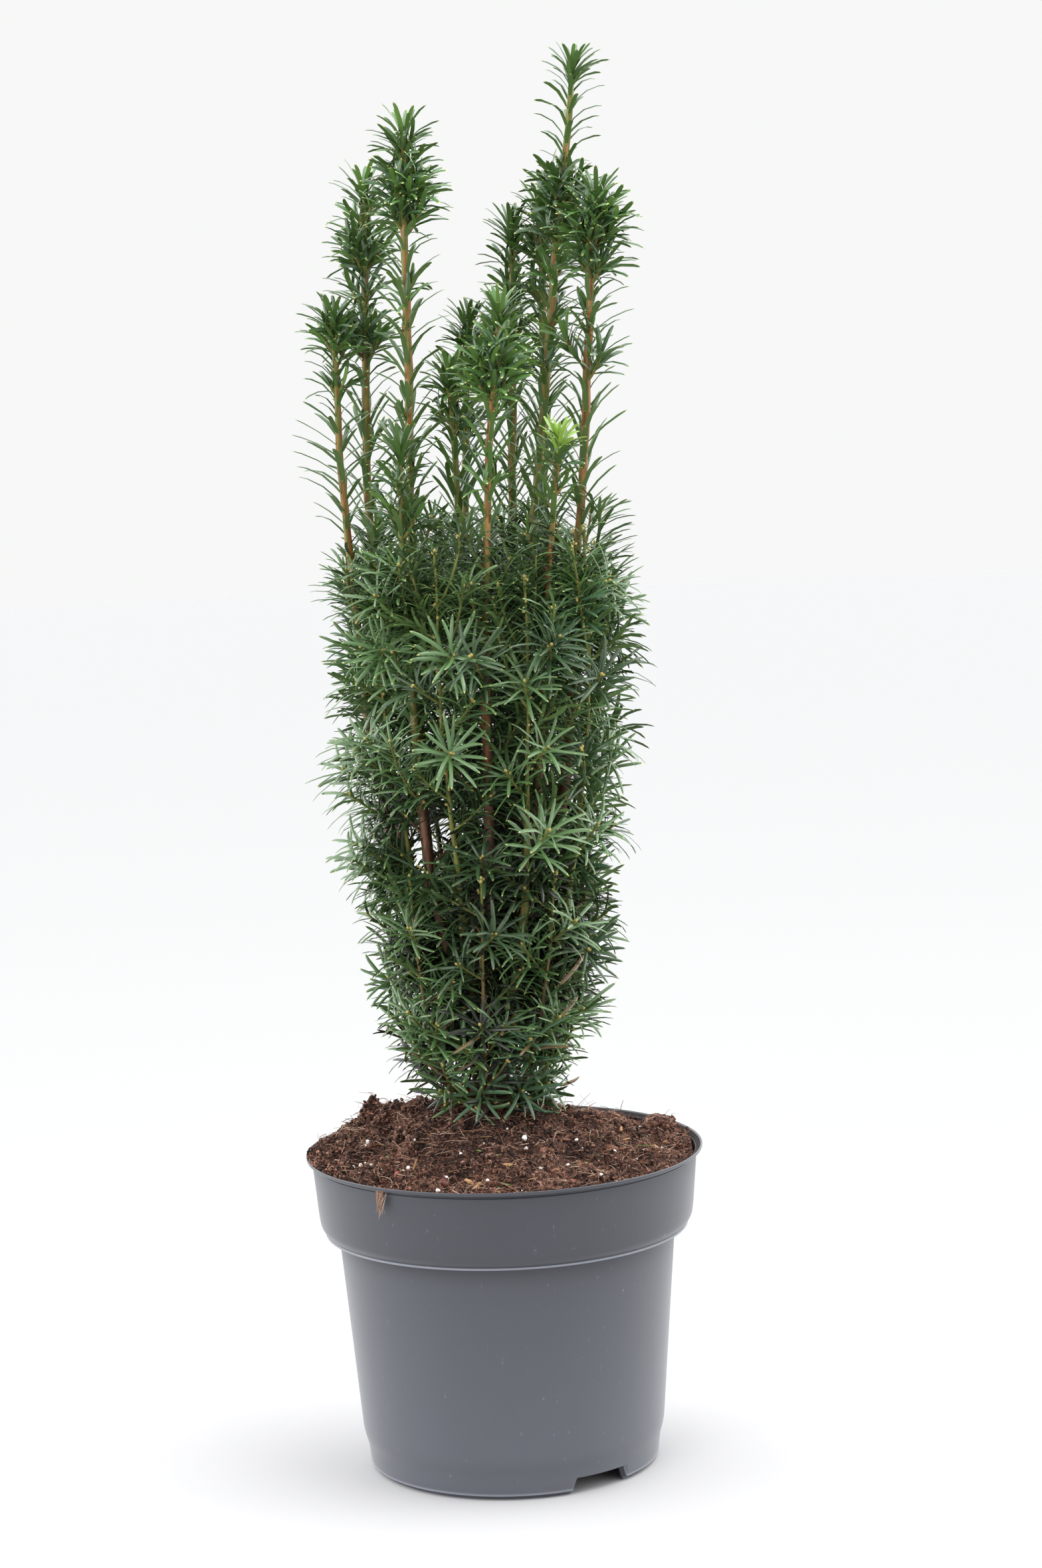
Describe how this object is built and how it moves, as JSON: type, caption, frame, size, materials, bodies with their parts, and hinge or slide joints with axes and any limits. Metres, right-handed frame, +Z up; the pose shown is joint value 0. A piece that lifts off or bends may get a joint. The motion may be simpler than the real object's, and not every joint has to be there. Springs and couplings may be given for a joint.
{
  "type": "potted english yew",
  "caption": "Upright English yew with slender needled leaders over a dense needled body, growing in a round tapered nursery pot.",
  "frame": {"origin": "on the ground at the centre of the pot", "axes": "+Z up along the plant, the front towards -Y, +X to the right seen from the front"},
  "size_m": [0.28, 0.28, 0.9905],
  "materials": {
    "pot": "satin",
    "soil": "rough",
    "trunk": "rough",
    "bough": "rough",
    "foliage_leader": "satin",
    "foliage_body": "satin"
  },
  "bodies": {
    "root": {"bough_flank_1": "bough", "bough_flank_2": "bough", "bough_flank_3": "bough", "bough_flank_4": "bough", "bough_flank_5": "bough", "bough_flank_6": "bough", "bough_flank_7": "bough", "bough_flank_8": "bough", "bough_leader_back": "bough", "bough_leader_centre": "bough", "bough_leader_front": "bough", "bough_leader_left_back": "bough", "bough_leader_left_front": "bough", "bough_leader_left_outer": "bough", "bough_leader_left_tall": "bough", "bough_leader_right_back": "bough", "bough_leader_right_fork": "bough", "bough_leader_right_front": "bough", "bough_leader_right_tall": "bough", "bough_leader_tallest": "bough", "foliage_flank_1": "foliage_body", "foliage_flank_2": "foliage_body", "foliage_flank_3": "foliage_body", "foliage_flank_4": "foliage_body", "foliage_flank_5": "foliage_body", "foliage_flank_6": "foliage_body", "foliage_flank_7": "foliage_body", "foliage_flank_8": "foliage_body", "foliage_leader_back": "foliage_leader", "foliage_leader_centre": "foliage_leader", "foliage_leader_front": "foliage_leader", "foliage_leader_left_back": "foliage_leader", "foliage_leader_left_front": "foliage_leader", "foliage_leader_left_outer": "foliage_leader", "foliage_leader_left_tall": "foliage_leader", "foliage_leader_right_back": "foliage_leader", "foliage_leader_right_fork": "foliage_leader", "foliage_leader_right_front": "foliage_leader", "foliage_leader_right_tall": "foliage_leader", "foliage_leader_tallest": "foliage_leader", "foliage_skirt_1": "foliage_body", "foliage_skirt_2": "foliage_body", "foliage_skirt_3": "foliage_body", "foliage_skirt_4": "foliage_body", "foliage_skirt_5": "foliage_body", "foliage_skirt_6": "foliage_body", "foliage_skirt_7": "foliage_body", "foliage_skirt_8": "foliage_body", "pot": "pot", "soil": "soil", "trunk": "trunk"}
  },
  "joints": []
}
